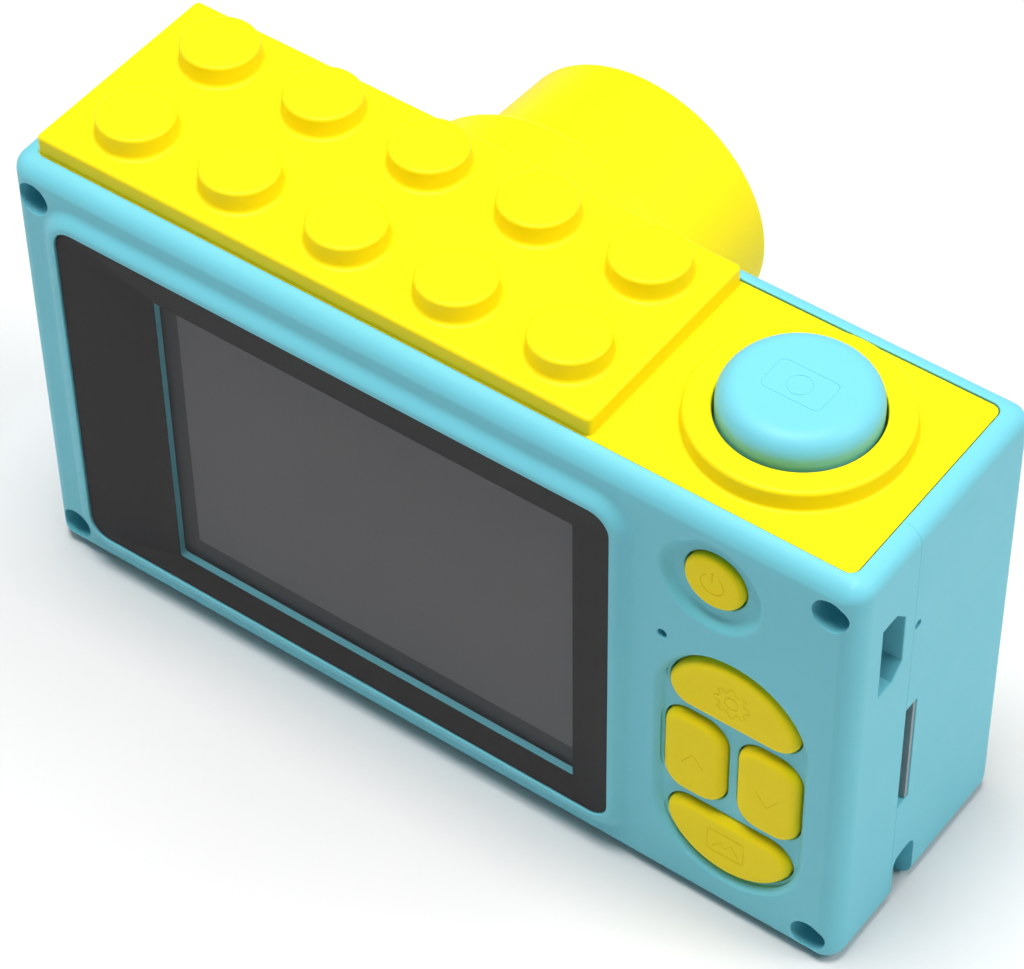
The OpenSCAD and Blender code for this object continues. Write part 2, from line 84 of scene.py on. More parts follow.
CASE_HIGH = corner("rear_cover", True)
FRONT_HIGH = corner("front_cover", True)
REAR_D = CASE_HIGH.y
BODY_D = FRONT_HIGH.y
BODY_H = CASE_HIGH.z
HALF_W = CASE_HIGH.x
GLASS_LOW, GLASS_HIGH = corner("display_window", False), corner("display_window", True)
GASKET_LOW = corner("lcd_gasket", False)
PANEL_LOW, PANEL_HIGH = corner("lcd_panel", False), corner("lcd_panel", True)
DECK_LOW, DECK_HIGH = corner("top_cover", False), corner("top_cover", True)
KEYS = middle("settings_plunger")
POWER = middle("power_plunger")
SHUTTER = middle("shutter_plunger")
SHUTTER_TOP = corner("shutter_button", True).z
LENS = middle("lens_window")
LENS_END = corner("lens_barrel", True).y
MICROPHONE = middle("microphone")
USB = middle("usb_socket")
CARD = middle("card_socket")
SPEAKER = middle("speaker")
SCREW_LOW, SCREW_HIGH = corner("case_screws", False), corner("case_screws", True)

# ---------- sizes, in millimetres ----------

WALL = 1.8
THROUGH = WALL + 0.5          # how far a cut through the wall reaches
BOSS = 4.4                    # corner of the cavity that is left to a screw boss
PARTING = 0.03                # chamfer where the two shells meet
EDGE_R = 1.6
BACK_EDGE_R = 2.0
GAP = 0.1                     # gap around the glass and the top cover
GLASS = (GLASS_LOW.x - GAP, GLASS_HIGH.x + GAP, GLASS_LOW.z - GAP, GLASS_HIGH.z + GAP)
GLASS_R = 1.9
GLASS_SEAT = GLASS_HIGH.y
CLEAR = (-25.9, 14.9, 6.0, 36.05)
ACTIVE = (-24.3, 16.5, 8.2, 38.8)
POCKET_Y = GASKET_LOW.y
POCKET_GAP = 0.3
INK_T = 0.05
INK_GAP = 0.01                # keeps faces of the glass sheet and the border from coinciding
BEZEL_CREST = 0.3             # level width of the bezel before it slopes down
BEZEL_SLOPE = 1.6
RIM = 1.7                     # width of the blue rim around the top cover
DECK_FLOOR = DECK_LOW.z
DECK_TOP = BODY_H - 0.12
CEILING = DECK_FLOOR - 1.55   # top of the cavity, under the floor that carries the top cover
BRICK_RIGHT = 15.15
BRICK_INSET = 0.05
BRICK = (DECK_LOW.x + BRICK_INSET, BRICK_RIGHT, DECK_LOW.y + BRICK_INSET, DECK_HIGH.y - BRICK_INSET)
BRICK_TOP = DECK_TOP + 1.82
STUD_TOP = DECK_HIGH.z
STUD_R = 3.3
STUD_PITCH = 10.42
STUD_FIRST = (-31.9, 6.9)
STUD_GRID = (5, 2)
COLLAR_R = 8.85
COLLAR_TOP = BODY_H + 1.6
SHUTTER_HOLE_R = 6.5
SHUTTER_R = 6.3
SHUTTER_WALL = 1.2
SHUTTER_TOP_T = 2.2
RECESS_D = 0.7
RECESS_R = 7.15
RECESS_Z = (10.8, 22.95)
RECESS_SLOPE = 0.95
KEYS_R = 6.2
KEYS_Z = RECESS_Z
KEY_CORNER = 2.1
KEY_HALF_GAP = 0.55
KEY_CELLS_Z = (11.6, 21.9)
KEY_FACE = 0.05
FLANGE = (WALL + 0.05, WALL + 0.85)
FLANGE_R = 0.3                # how far the flange of a key reaches past its outline
HOLE_GAP = 0.15
HOLE_FILLET = 0.12
ICON_LINE = 0.05
POWER_R = 2.65
POWER_RISE = 0.5              # face of the power key above the floor of its dish
DISH_R = 4.7
DISH_D = 0.8
DISH_SLOPE = 1.0
HEAD_R = 1.45
COUNTERBORE_R = 1.53
COUNTERBORE_D = 5.0
PINHOLE_R = 0.43
PINHOLE_FILLET = 0.08
USB_NEAR = 1.5                # from the middle of the socket to the back
USB_FAR = 1.65
USB_HALF_W = 3.75
USB_CHAMFER = 1.3
CARD_SLOT_HALF = 5.95
CARD_SLOT_D = 1.6
RESET = (REAR_D + 0.6, USB.z - 0.2)
RESET_R = 0.4
STRAP_Y = (REAR_D + 0.3, REAR_D + 3.3)
STRAP_TOP = 5.4
STRAP_POST_R = 1.5
SPEAKER_PITCH = 2.2
SPEAKER_HOLE_R = 0.6
LENS_BASE_R = 15.75
LENS_STEP = BODY_D + 9.9      # end of the wide base of the barrel
LENS_FRONT_R = 12.8
LENS_BORE = 10.6
SPIGOT_R = 11.4
SPIGOT_BORE = 10.0
WINDOW_Y = LENS_END - 4
TRIM_T = 1.2
TRIM_R = (7.4, 8.6)           # opening of the ring behind and in front

# ---------- fineness ----------

CORNER_STEPS = 10
ROUND_STEPS = 64
ROUNDING_STEP = 9             # degrees between the rows of the case's rounded edges
BAR_SIDES = 8
CREASE_ANGLE = 32


# ---------- outlines: each is a function of how far it is grown, giving 2D points ----------

def arc(cx, cy, r, start, end, steps):
    """Points on an arc, in degrees, both ends included."""
    turns = [math.radians(start + (end - start) * i / steps) for i in range(steps + 1)]
    return [(cx + r * math.cos(t), cy + r * math.sin(t)) for t in turns]


def circle(cx, cy, r, steps=ROUND_STEPS):
    return lambda grow=0: arc(cx, cy, r + grow, 0, 360, steps)[:-1]


def rounded_rect(area, r, steps=CORNER_STEPS):
    left, right, low, high = area
    corners = [
        (right - r, high - r, 0), (left + r, high - r, 90),
        (left + r, low + r, 180), (right - r, low + r, 270)]

    def points(grow=0):
        return [p for x, y, turn in corners for p in arc(x, y, max(r + grow, 0.01), turn, turn + 90, steps)]
    return points


def stadium(cx, low, high, r):
    steps = ROUND_STEPS // 2

    def points(grow=0):
        return arc(cx, high, r + grow, 0, 180, steps) + arc(cx, low, r + grow, 180, 360, steps)
    return points


def key_segment(cx, cz, r, chord, side):
    """Round end of the key cluster, cut by a chord; side is 1 above the chord and -1 below it."""
    c = KEY_CORNER
    rise = (chord - cz) * side + c
    run = math.sqrt((r - c) ** 2 - rise ** 2)
    lean = math.degrees(math.atan2(rise, run))

    def points(grow=0):
        right = arc(run, rise, c + grow, -90, lean, CORNER_STEPS)
        top = arc(0, 0, r + grow, lean, 180 - lean, 4 * CORNER_STEPS)[1:-1]
        left = [(-x, y) for x, y in reversed(right)]
        loop = [(cx + x, cz + side * y) for x, y in right + top + left]
        return loop if side == 1 else loop[::-1]
    return points


def softened(path, steps=6):
    """Profile from [(a, b, radius)]: each corner becomes an arc of that radius."""
    out = []
    for i, (a, b, r) in enumerate(path):
        here = Vector((a, b))
        if not r or i in (0, len(path) - 1):
            out.append((a, b))
            continue
        to_last = (Vector(path[i - 1][:2]) - here).normalized()
        to_next = (Vector(path[i + 1][:2]) - here).normalized()
        half = to_last.angle(to_next) / 2
        centre = here + (to_last + to_next).normalized() * (r / math.sin(half))
        first = here + to_last * (r / math.tan(half)) - centre
        last = here + to_next * (r / math.tan(half)) - centre
        bend = first.angle_signed(last)
        for k in range(steps + 1):
            out.append(tuple(centre + Matrix.Rotation(-bend * k / steps, 2) @ first))
    return out


def smooth_step(t):
    t = min(max(t, 0.0), 1.0)
    return t * t * (3 - 2 * t)


# ---------- mesh building ----------

def on_back(u, v, w):
    """Outlines drawn as seen from behind; w is depth."""
    return (u, w, v)


def on_top(u, v, w):
    """Outlines drawn as seen from above; w is height."""
    return (u, v, w)


def on_side(u, v, w):
    """Outlines drawn on the right side as (depth, height); w is x."""
    return (w, u, v)


def bridge(bm, a, b):
    """Band between two loops that have the same number of points."""
    for i in range(len(a)):
        j = (i + 1) % len(a)
        bm.faces.new((a[i], a[j], b[j], b[i]))


def sweep(bm, outline, profile, place):
    """Skin through copies of an outline, one per (grow, w) of the profile. Returns first and last loop."""
    loops = [[bm.verts.new(place(u, v, w)) for u, v in outline(grow)] for grow, w in profile]
    for a, b in zip(loops, loops[1:]):
        bridge(bm, a, b)
    return loops[0], loops[-1]


def fill(bm, *loops):
    """Flat area between an outer loop and any inner ones."""
    edges = []
    for loop in loops:
        for a, b in zip(loop, loop[1:] + loop[:1]):
            edges.append(bm.edges.get((a, b)) or bm.edges.new((a, b)))
    bmesh.ops.triangle_fill(bm, use_beauty=True, use_dissolve=False, edges=edges)


def plug(bm, outline, profile, place):
    """Closed solid: a sweep with both ends filled."""
    first, last = sweep(bm, outline, profile, place)
    fill(bm, first)
    fill(bm, last)


def lathe(bm, profile, axis_point, place, steps=96, closed=True):
    """Turns (radius, w) points round an axis; a closed profile makes a ring."""
    cx, cy = axis_point
    rings = []
    for r, w in profile:
        if r < 1e-6:
            rings.append([bm.verts.new(place(cx, cy, w))])
        else:
            rings.append([bm.verts.new(place(u, v, w)) for u, v in arc(cx, cy, r, 0, 360, steps)[:-1]])
    pairs = list(zip(rings, rings[1:]))
    if closed:
        pairs.append((rings[-1], rings[0]))
    for a, b in pairs:
        for i in range(steps):
            j = (i + 1) % steps
            corners = [a[i % len(a)], a[j % len(a)], b[j % len(b)], b[i % len(b)]]
            unique = list(dict.fromkeys(corners))
            if len(unique) > 2:
                bm.faces.new(unique)


def mouth(floor, fillet, end, lead=0.3, inward=1):
    """Profile of a cutter: a rounded mouth at the surface w = floor, then a straight wall down to w = end.

    inward is 1 where depth grows into the material and -1 where it shrinks. The mouth starts at a shallow
    angle, a little above the surface, and the cutter goes on for lead beyond that.
    """
    steps, shallow, above = 6, math.radians(12), 0.03
    angles = [shallow + (math.pi / 2 - shallow) * i / steps for i in range(steps + 1)]
    flare = [(fillet * (1 - math.sin(a)), floor + inward * fillet * (1 - math.cos(a))) for a in angles]
    run = (abs(flare[0][1] - floor) + above) / math.sin(shallow)
    rim = (flare[0][0] + run * math.cos(shallow), flare[0][1] - inward * run * math.sin(shallow))
    return [(rim[0], rim[1] - inward * lead), rim] + flare + [(0, end)]


def new_piece(name, bm):
    """Turns a mesh in millimetres into an object in the frame, in metres."""
    bmesh.ops.recalc_face_normals(bm, faces=bm.faces)
    mesh = bpy.data.meshes.new(name)
    bm.to_mesh(mesh)
    bm.free()
    mesh.transform(Matrix.Scale(MM, 4) @ Matrix.Translation((0, BACK_Y, 0)))
    piece = bpy.data.objects.new(name, mesh)
    bpy.context.scene.collection.objects.link(piece)
    return piece


def carve(piece, *builders, overlapping=False):
    """Cuts away the solid that each builder adds to an empty bmesh; it may be allowed to overlap itself."""
    for build in builders:
        bm = bmesh.new()
        build(bm)
        tool = new_piece("cutter", bm)
        cut = piece.modifiers.new("cut", "BOOLEAN")
        cut.operation = "DIFFERENCE"
        cut.solver = "EXACT"
        cut.use_self = overlapping
        cut.object = tool
        bpy.context.view_layer.update()
        result = bpy.data.meshes.new_from_object(piece.evaluated_get(bpy.context.evaluated_depsgraph_get()))
        piece.modifiers.clear()
        piece.data = result
        bpy.data.objects.remove(tool)
    return piece


def shade(piece):
    """Smooth shading with sharp creases, weighted so that flat areas look flat."""
    piece.data.shade_smooth()
    piece.data.set_sharp_from_angle(angle=math.radians(CREASE_ANGLE))
    normals = piece.modifiers.new("flat areas", "WEIGHTED_NORMAL")
    normals.keep_sharp = True
    normals.weight = 60


def finish_piece(piece, material, slot, body, *replaced):
    """Gives a piece its shading, material and body, and hides the CAD nodes that it stands for. The slot
    argument is not used.
    """
    shade(piece)
    piece.data.materials.clear()
    piece.data.materials.append(material)
    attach(piece, body)
    if replaced:
        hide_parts(*replaced)


# ---------- materials ----------

class Nodes:
    """Thin helper around a material's node tree."""

    def __init__(self, name):
        self.material = bpy.data.materials.new(name)
        self.material.use_nodes = True
        self.tree = self.material.node_tree
        self.shader = self.tree.nodes["Principled BSDF"]

    def add(self, kind, **values):
        node = self.tree.nodes.new(kind)
        for key, value in values.items():
            if key in node.inputs:
                node.inputs[key].default_value = value
            else:
                setattr(node, key, value)
        return node

    def link(self, source, target):
        self.tree.links.new(source, target)

    def noise(self, scale, detail, roughness=0.5):
        place = self.add("ShaderNodeTexCoord")
        noise = self.add("ShaderNodeTexNoise", Scale=scale, Detail=detail, Roughness=roughness)
        self.link(place.outputs["Object"], noise.inputs["Vector"])
        return noise.outputs["Fac"]

    def spread(self, value, low, high):
        """Maps 0..1 to low..high."""
        spread = self.add("ShaderNodeMapRange")
        spread.inputs["To Min"].default_value = low
        spread.inputs["To Max"].default_value = high
        self.link(value, spread.inputs["Value"])
        return spread.outputs["Result"]

    def tint(self, value, low, high):
        """Mixes two colours by a value."""
        mix = self.add("ShaderNodeMix", data_type="RGBA")
        mix.inputs["A"].default_value = (*low, 1)
        mix.inputs["B"].default_value = (*high, 1)
        self.link(value, mix.inputs["Factor"])
        self.link(mix.outputs["Result"], self.shader.inputs["Base Color"])

    def bump(self, value, strength, distance):
        """Fine relief from a value; distance is in metres."""
        bump = self.add("ShaderNodeBump", Strength=strength, Distance=distance)
        self.link(value, bump.inputs["Height"])
        self.link(bump.outputs["Normal"], self.shader.inputs["Normal"])


def moulded_plastic(name, colour, variation=0.03, roughness=(0.42, 0.54), bump=0.05, shine=0.3):
    """Injection-moulded ABS: nearly even colour, soft sheen and a very fine spark-eroded grain."""
    n = Nodes(name)
    dark = [c * (1 - variation) for c in colour]
    light = [min(c * (1 + variation), 1) for c in colour]
    n.tint(n.noise(90, 3), dark, light)
    n.link(n.spread(n.noise(260, 4), *roughness), n.shader.inputs["Roughness"])
    n.bump(n.noise(5200, 2, 0.6), bump, 0.00004)
    n.shader.inputs["Specular IOR Level"].default_value = shine
    return n.material


def metal(name, colour, roughness=(0.25, 0.4)):
    """Bare metal with slight stains and a very fine grain."""
    n = Nodes(name)
    n.tint(n.noise(700, 3), [c * 0.92 for c in colour], colour)
    n.link(n.spread(n.noise(2500, 3), *roughness), n.shader.inputs["Roughness"])
    n.bump(n.noise(3000, 3), 0.08, 0.00002)
    n.shader.inputs["Metallic"].default_value = 1.0
    return n.material


def clear_glass(name, tint, opacity):
    """See-through sheet whose surface is a little soft, so that it mirrors the lights without hard edges."""
    n = Nodes(name)
    n.shader.inputs["Base Color"].default_value = (*tint, 1)
    n.link(n.spread(n.noise(60, 2), 0.2, 0.26), n.shader.inputs["Roughness"])
    n.shader.inputs["Alpha"].default_value = opacity
    return n.material


BLUE = moulded_plastic("blue_plastic", (0.175, 0.600, 0.710))
YELLOW = moulded_plastic("yellow_plastic", (0.93, 0.76, 0.004), shine=0.18)
KEY_YELLOW = moulded_plastic("key_plastic", (0.93, 0.74, 0.004), roughness=(0.48, 0.6), shine=0.15)
GREY = moulded_plastic("grey_plastic", (0.27, 0.35, 0.37))
BLACK = moulded_plastic("black_plastic", (0.012, 0.012, 0.013), roughness=(0.45, 0.6))
WHITE = moulded_plastic("white_plastic", (0.75, 0.75, 0.72))
INK = moulded_plastic("printed_border", (0.042, 0.041, 0.042), roughness=(0.5, 0.56), bump=0, shine=0.05)
SCREEN = moulded_plastic("screen_polariser", (0.2, 0.2, 0.204), roughness=(0.5, 0.56), bump=0, shine=0.05)
SCREEN_EDGE = moulded_plastic("screen_border", (0.1, 0.1, 0.103), roughness=(0.5, 0.56), bump=0, shine=0.05)
FOAM = moulded_plastic("foam", (0.03, 0.03, 0.03), roughness=(0.8, 0.95), bump=0.4)
BOARD = moulded_plastic("circuit_board", (0.02, 0.17, 0.07), variation=0.15, roughness=(0.3, 0.45))
FLEX = moulded_plastic("flex_film", (0.55, 0.24, 0.03), variation=0.08, roughness=(0.25, 0.35))
STEEL = metal("nickel_steel", (0.62, 0.62, 0.64))
POUCH = metal("battery_pouch", (0.72, 0.73, 0.75), roughness=(0.3, 0.5))
WINDOW = clear_glass("window_sheet", (0.02, 0.02, 0.022), 0.12)
LENS_GLASS = clear_glass("lens_glass", (0.35, 0.4, 0.55), 0.35)


# ---------- case ----------

def rect_distance(x, z, area, r):
    """Signed distance to a rounded rectangle, negative inside."""
    cx, cz = (area[0] + area[1]) / 2, (area[2] + area[3]) / 2
    qx = abs(x - cx) - (area[1] - area[0]) / 2 + r
    qz = abs(z - cz) - (area[3] - area[2]) / 2 + r
    return math.hypot(max(qx, 0), max(qz, 0)) + min(max(qx, qz), 0) - r


def recess_distance(x, z):
    """Signed distance to the outline of the key recess, negative inside."""
    nearest = min(max(z, RECESS_Z[0]), RECESS_Z[1])
    return math.hypot(x - KEYS.x, z - nearest) - RECESS_R


CASE_AREA = (-HALF_W, HALF_W, 0, BODY_H)


def back_relief(x, z):
    """Depth of the back face: bezel, dish, key recess and the rounded outer edge."""
    bezel = 1 - smooth_step((rect_distance(x, z, GLASS, GLASS_R) - BEZEL_CREST) / BEZEL_SLOPE)
    dish = smooth_step((DISH_R - math.hypot(x - POWER.x, z - POWER.z)) / DISH_SLOPE)
    recess = smooth_step(-recess_distance(x, z) / RECESS_SLOPE)
    inside = max(-rect_distance(x, z, CASE_AREA, EDGE_R), 0)
    depth = DISH_D * dish + RECESS_D * recess - BEZEL_H * bezel
    if inside < BACK_EDGE_R:
        depth += BACK_EDGE_R - math.sqrt(BACK_EDGE_R ** 2 - (BACK_EDGE_R - inside) ** 2)
    return depth


def relief_loops():
    """Outline loops along every slope of the back face, with one loop outside it as a support."""
    case = rounded_rect(CASE_AREA, EDGE_R)
    yield [case(-BACK_EDGE_R * (1 - math.cos(math.radians(a)))) for a in range(0, 91, ROUNDING_STEP)]
    glass = rounded_rect(GLASS, GLASS_R)
    slope = [i / 10 for i in range(-1, 12)]
    yield [glass(BEZEL_CREST + BEZEL_SLOPE * t) for t in slope]
    dish = circle(POWER.x, POWER.z, DISH_R)
    yield [dish(-DISH_SLOPE * t) for t in slope]
    recess = stadium(KEYS.x, *RECESS_Z, RECESS_R)
    yield [recess(-RECESS_SLOPE * t) for t in slope]


def rear_blank(bm):
    """Solid rear half with the relief on its back and a fine chamfer at the parting line."""
    points, edges = [], []
    for family in relief_loops():
        for loop in family:
            start = len(points)
            kept = [rect_distance(u, v, CASE_AREA, EDGE_R) < 1e-6 for u, v in loop]
            points += loop
            for i in range(len(loop)):
                j = (i + 1) % len(loop)
                if kept[i] and kept[j]:
                    edges.append((start + i, start + j))
    spots = [Vector(p) for p in points]
    used = sorted({i for e in edges for i in e})
    index = {old: new for new, old in enumerate(used)}
    found, _, triangles, *_ = geometry.delaunay_2d_cdt(
        [spots[i] for i in used], [(index[a], index[b]) for a, b in edges], [], 0, 1e-5)
    verts = [bm.verts.new((p.x, back_relief(p.x, p.y), p.y)) for p in found]
    for t in triangles:
        bm.faces.new([verts[i] for i in t])
    rim = [e for e in bm.edges if e.is_boundary]
    near = 0.5                # points this close to a side move with it
    for grow, depth in ((0, REAR_D - PARTING), (-PARTING, REAR_D)):
        made = bmesh.ops.extrude_edge_only(bm, edges=rim)["geom"]
        rim = [g for g in made if isinstance(g, bmesh.types.BMEdge)]
        for v in {v for e in rim for v in e.verts}:
            v.co.y = depth
            v.co.x -= math.copysign(-grow, v.co.x) if abs(v.co.x) > HALF_W - near else 0
            v.co.z += -grow if v.co.z < near else (grow if v.co.z > BODY_H - near else 0)
    bmesh.ops.contextual_create(bm, geom=rim)


def cavity(y0, y1):
    """Inside of a shell: a box whose corners leave room for the screw bosses."""
    x, low, high = HALF_W - WALL, WALL, CEILING

    def build(bm):
        outline = [
            (-x + BOSS, low), (x - BOSS, low), (x - BOSS, low + BOSS), (x, low + BOSS),
            (x, high - BOSS), (x - BOSS, high - BOSS), (x - BOSS, high), (-x + BOSS, high),
            (-x + BOSS, high - BOSS), (-x, high - BOSS), (-x, low + BOSS), (-x + BOSS, low + BOSS)]
        plug(bm, lambda grow=0: outline, [(0, y0), (0, y1)], on_back)
    return build


def deck_recess(bm):
    area = (-HALF_W + RIM, HALF_W - RIM, RIM, BODY_D - RIM)
    plug(bm, rounded_rect(area, 0.9), mouth(BODY_H, 0.1, DECK_FLOOR, lead=5, inward=-1), on_top)


def shutter_passage(bm):
    plug(bm, circle(SHUTTER.x, SHUTTER.y, SHUTTER_HOLE_R), [(0, CEILING - 1), (0, DECK_FLOOR + 1)], on_top)


def screw_spots():
    across = (SCREW_LOW.x + HEAD_R, SCREW_HIGH.x - HEAD_R)
    return [(x, z) for x in across for z in (SCREW_LOW.z + HEAD_R, SCREW_HIGH.z - HEAD_R)]


def key_outlines():
    low, high = KEY_CELLS_Z
    g = KEY_HALF_GAP
    side = (low + g, high - g)
    return {
        "settings": key_segment(KEYS.x, KEYS_Z[1], KEYS_R, high + g, 1),
        "gallery": key_segment(KEYS.x, KEYS_Z[0], KEYS_R, low - g, -1),
        "left": rounded_rect((KEYS.x - KEYS_R, KEYS.x - g, *side), KEY_CORNER),
        "right": rounded_rect((KEYS.x + g, KEYS.x + KEYS_R, *side), KEY_CORNER),
    }


def grown(outline, by):
    return lambda grow=0: outline(grow + by)


def back_holes(bm):
    """Openings for the keys and the microphone, and the four screw holes."""
    for outline in key_outlines().values():
        plug(bm, grown(outline, HOLE_GAP), mouth(RECESS_D, HOLE_FILLET, THROUGH), on_back)
    power = circle(POWER.x, POWER.z, POWER_R + HOLE_GAP)
    plug(bm, power, mouth(DISH_D, HOLE_FILLET, THROUGH), on_back)
    pinhole = circle(MICROPHONE.x, MICROPHONE.z, PINHOLE_R, 32)
    plug(bm, pinhole, mouth(0, PINHOLE_FILLET, THROUGH), on_back)
    for x, z in screw_spots():
        plug(bm, circle(x, z, COUNTERBORE_R), mouth(0, PINHOLE_FILLET, COUNTERBORE_D, lead=1.2), on_back)


def glass_recess(bm):
    plug(bm, rounded_rect(GLASS, GLASS_R), mouth(-BEZEL_H, 0.08, GLASS_SEAT), on_back)


def window_opening(bm):
    plug(bm, rounded_rect(CLEAR, 0.4), [(0, GLASS_SEAT - 0.5), (0, THROUGH)], on_back)


def screen_pocket(bm):
    gap = POCKET_GAP
    area = (PANEL_LOW.x - gap, PANEL_HIGH.x + gap, PANEL_LOW.z - gap, PANEL_HIGH.z + gap)
    plug(bm, rounded_rect(area, 0.4), [(0, POCKET_Y), (0, THROUGH)], on_back)


def usb_outline(grow=0):
    """Charging opening with two chamfered corners, which grow by about 0.59 of what the sides grow."""
    near, far = USB.y - USB_NEAR - grow, USB.y + USB_FAR + grow
    half_w = USB_HALF_W + grow
    chamfer = USB_CHAMFER + grow * 0.59
    low, high = USB.z - half_w, USB.z + half_w
    return [
        (near, low), (far - chamfer, low), (far, low + chamfer),
        (far, high - chamfer), (far - chamfer, high), (near, high)]


def usb_opening(bm):
    plug(bm, usb_outline, mouth(HALF_W, HOLE_FILLET, HALF_W - THROUGH, inward=-1), on_side)


def rear_cover():
    bm = bmesh.new()
    rear_blank(bm)
    piece = new_piece("rear_shell", bm)
    carve(piece, cavity(WALL, REAR_D + 1), screen_pocket, glass_recess, window_opening, back_holes,
          deck_recess, shutter_passage, usb_opening)
    finish_piece(piece, BLUE, "shell_blue", "camera", "rear_cover")


def card_slot(bm):
    """Slot that starts at the parting line; the cutter begins behind it."""
    area = (REAR_D - 1, REAR_D + CARD_SLOT_D, CARD.z - CARD_SLOT_HALF, CARD.z + CARD_SLOT_HALF)
    plug(bm, rounded_rect(area, 0.15, 3), mouth(HALF_W, 0.1, HALF_W - THROUGH, inward=-1), on_side)


def reset_hole(bm):
    pinhole = circle(*RESET, RESET_R, 24)
    plug(bm, pinhole, mouth(HALF_W, PINHOLE_FILLET, HALF_W - THROUGH, inward=-1), on_side)


def strap_slot(bm):
    """Notch at the lower right edge with a rounded top."""
    (low, high), top = STRAP_Y, STRAP_TOP
    outline = [(low, -1), (high, -1)]
    outline += arc(high - 1, top - 1, 1, 0, 90, 6) + arc(low + 1, top - 1, 1, 90, 180, 6)
    plug(bm, lambda grow=0: outline, [(0, HALF_W - top), (0, HALF_W + 1)], on_side)


def speaker_holes(bm):
    """One hole in the middle and two rings of holes around it."""
    spots = [(SPEAKER.x, SPEAKER.z)]
    for ring in (1, 2):
        spots += arc(SPEAKER.x, SPEAKER.z, SPEAKER_PITCH * ring, 0, 360, 6 * ring)[:-1]
    for x, z in spots:
        hole = circle(x, z, SPEAKER_HOLE_R, 24)
        plug(bm, hole, mouth(BODY_D, HOLE_FILLET, BODY_D - THROUGH, inward=-1), on_back)


def lens_hole(bm):
    plug(bm, circle(LENS.x, LENS.z, SPIGOT_R + 0.1), [(0, BODY_D - WALL - 1), (0, BODY_D + 1)], on_back)


def front_cover():
    bm = bmesh.new()
    turns = [math.radians(a) for a in range(0, 91, ROUNDING_STEP)]
    rounding = [(-EDGE_R * (1 - math.cos(t)), BODY_D - EDGE_R * (1 - math.sin(t))) for t in turns]
    profile = [(-PARTING, REAR_D), (0, REAR_D + PARTING)] + rounding
    plug(bm, rounded_rect(CASE_AREA, EDGE_R), profile, on_back)
    piece = new_piece("front_shell", bm)
    carve(piece, cavity(REAR_D - 1, BODY_D - WALL), lens_hole, deck_recess, shutter_passage,
          card_slot, reset_hole, strap_slot, speaker_holes)
    strap_post()
    finish_piece(piece, BLUE, "shell_blue", "camera", "front_cover")


def strap_post():
    """Screw boss at the lower right, seen as a post inside the strap notch."""
    bm = bmesh.new()
    x, z = screw_spots()[2]
    plug(bm, circle(x, z, STRAP_POST_R, 32), [(0, STRAP_Y[0]), (0, STRAP_Y[1])], on_back)
    finish_piece(new_piece("strap_post", bm), BLUE, "shell_blue", "camera")


# ---------- top cover ----------

def top_cover():
    """Deck, studded block and collar in one skin."""
    bm = bmesh.new()
    deck_area = (DECK_LOW.x, DECK_HIGH.x, DECK_LOW.y, DECK_HIGH.y)
    deck = softened([(0, DECK_FLOOR, 0), (0, DECK_TOP, 0.06), (-0.1, DECK_TOP, 0)], 3)
    bottom, deck_edge = sweep(bm, rounded_rect(deck_area, 0.8), deck, on_top)

    block = softened([(0.06, DECK_TOP, 0), (0, DECK_TOP, 0.05), (0, BRICK_TOP, 0.35), (-0.8, BRICK_TOP, 0)])
    foot, block_edge = sweep(bm, rounded_rect(BRICK, 0.5), block, on_top)

    studs = []
    stud = softened([
        (0.7, BRICK_TOP, 0), (0.1, BRICK_TOP, 0.45), (-0.05, STUD_TOP, 0.32), (-1.2, STUD_TOP, 0)])
    for column in range(STUD_GRID[0]):
        for row in range(STUD_GRID[1]):
            centre = (STUD_FIRST[0] + column * STUD_PITCH, STUD_FIRST[1] + row * STUD_PITCH)
            base, top = sweep(bm, circle(*centre, STUD_R), stud, on_top)
            fill(bm, top)
            studs.append(base)
    fill(bm, block_edge, *studs)

    collar = softened([
        (0.5, DECK_TOP, 0), (0, DECK_TOP, 0.3), (-0.15, COLLAR_TOP, 0.4),
        (SHUTTER_HOLE_R - COLLAR_R, COLLAR_TOP, 0.2), (SHUTTER_HOLE_R - COLLAR_R, DECK_FLOOR, 0)])
    ring_foot, hole = sweep(bm, circle(SHUTTER.x, SHUTTER.y, COLLAR_R, 96), collar, on_top)
    fill(bm, deck_edge, foot, ring_foot)
    fill(bm, bottom, hole)
    piece = new_piece("studded_cover", bm)
    finish_piece(piece, YELLOW, "cover_yellow", "camera", "top_cover")


# ---------- display ----------

def display_window():
    """Glass sheet with a dark border inside it, from the rim in to the clear opening at the back."""
    glass_area = (GLASS_LOW.x, GLASS_HIGH.x, GLASS_LOW.z, GLASS_HIGH.z)
    outline = rounded_rect(glass_area, GLASS_R - GAP)
    ink_y = GLASS_SEAT - INK_T
    sheet_end = ink_y - INK_GAP
    rim = GLASS_LOW.y + 0.1
    bm = bmesh.new()
    sheet = softened([
        (-0.5, GLASS_LOW.y, 0), (0, GLASS_LOW.y, 0.08), (0, rim - INK_GAP, 0), (-0.06, rim - INK_GAP, 0),
        (-0.06, sheet_end, 0), (-0.5, sheet_end, 0)], 4)
    plug(bm, outline, sheet, on_back)
    finish_piece(new_piece("window_sheet", bm), WINDOW, "window_glass", "camera", "display_window")

    bm = bmesh.new()
    outer = sweep(bm, outline, [(0, GLASS_SEAT), (0, rim), (-0.05, rim)], on_back)
    inner = sweep(bm, rounded_rect(CLEAR, 0.3), [(-0.1, GLASS_SEAT), (-0.1, ink_y)], on_back)
    fill(bm, outer[0], inner[0])
    bridge(bm, outer[1], inner[1])
    finish_piece(new_piece("window_border", bm), INK, "window_glass", "camera")


